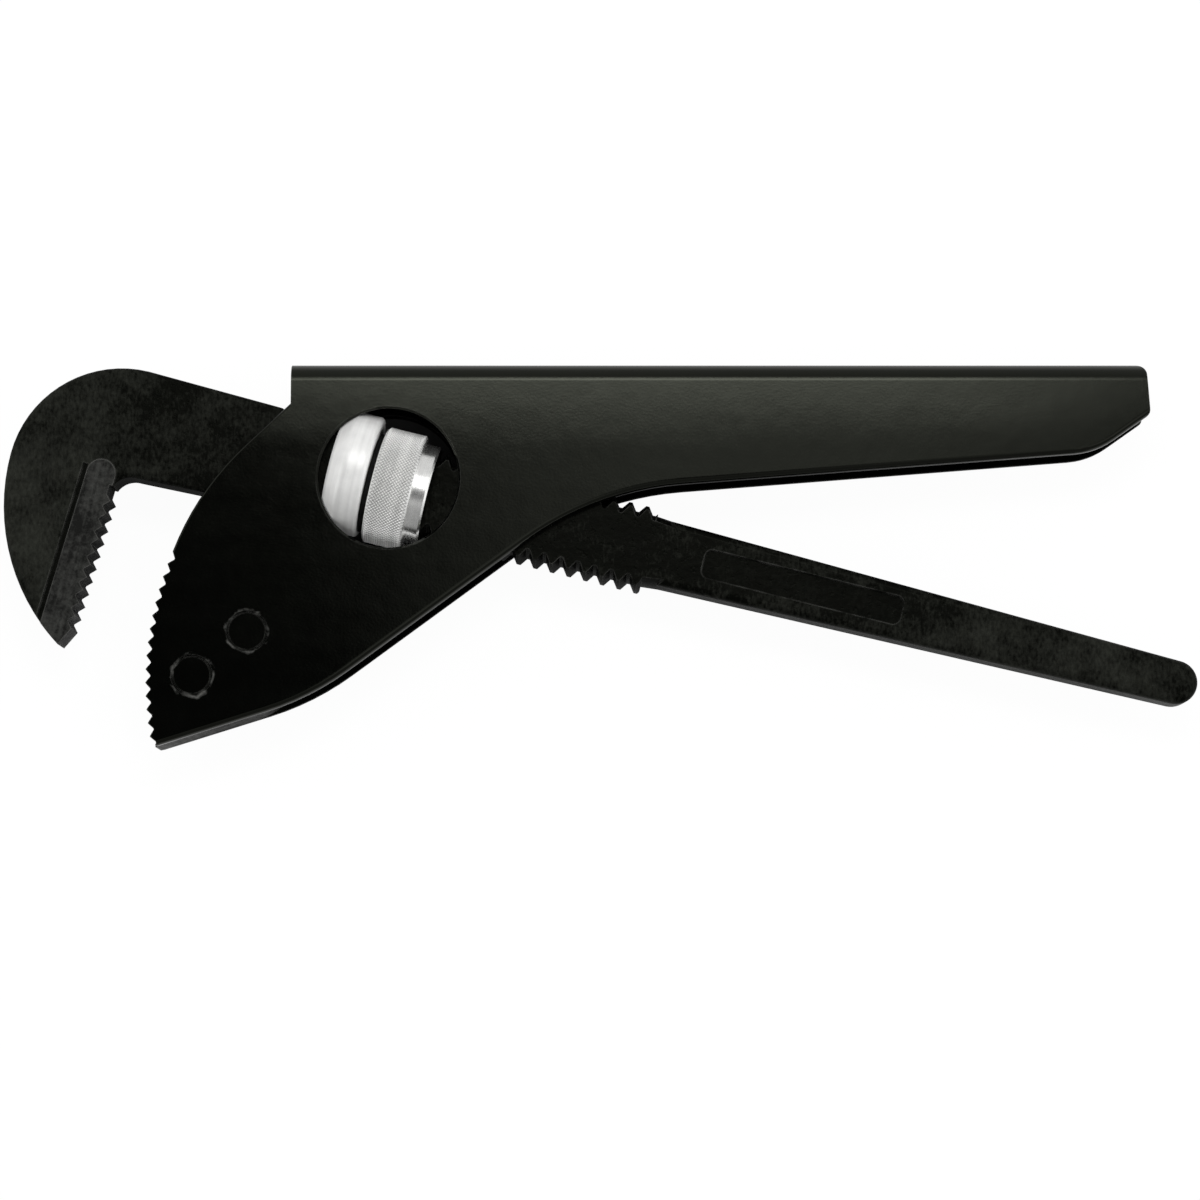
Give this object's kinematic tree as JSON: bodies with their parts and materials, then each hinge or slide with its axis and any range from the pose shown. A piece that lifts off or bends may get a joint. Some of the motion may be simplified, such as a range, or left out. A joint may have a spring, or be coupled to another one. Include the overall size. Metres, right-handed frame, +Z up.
{
  "type": "adjustable pipe wrench",
  "caption": "Hand pipe wrench with a pressed channel body, a sliding toothed hook jaw and a knurled thumb nut that sets the jaw opening.",
  "frame": {"origin": "centre of the round thumb window, half way between the two cheeks: the point about which the hook jaw swings", "axes": "+X along the grip away from the jaws, +Y across the tool towards the folded spine, +Z through its width; the tool lies on its side with Z up"},
  "size_m": [0.3006, 0.097, 0.0312],
  "materials": {
    "body_black": "satin",
    "forged_black": "satin",
    "hardened_steel": "satin",
    "plated_steel": "satin",
    "rivet_steel": "satin"
  },
  "bodies": {
    "body": {"pressed_body": "body_black", "heel_jaw": "hardened_steel", "heel_rivet_upper": "rivet_steel", "heel_rivet_lower": "rivet_steel"},
    "collar": {"thrust_collar": "plated_steel"},
    "nut": {"thumb_nut": "plated_steel"},
    "hook_jaw": {"hook_jaw": "forged_black", "hook_insert": "hardened_steel"}
  },
  "joints": [
    {"name": "jaw_pivot", "type": "hinge", "parent": "body", "child": "collar", "pos_m": [0, 0, 0], "axis": [0, 0, 1], "range_deg": [-12, 5]},
    {"name": "nut_spin", "type": "hinge", "parent": "collar", "child": "nut", "pos_m": [-0.00031, -0.00126, 0], "axis": [0.9703, -0.2419, 0], "range_deg": [-1159, 3725]},
    {"name": "jaw_slide", "type": "slide", "parent": "collar", "child": "hook_jaw", "axis": [-0.9703, 0.2419, 0], "range_m": [-0.014, 0.045]}
  ],
  "couplings": [
    {"joint": "nut_spin", "follows": "jaw_slide", "rad_per_m": 1444.4}
  ]
}
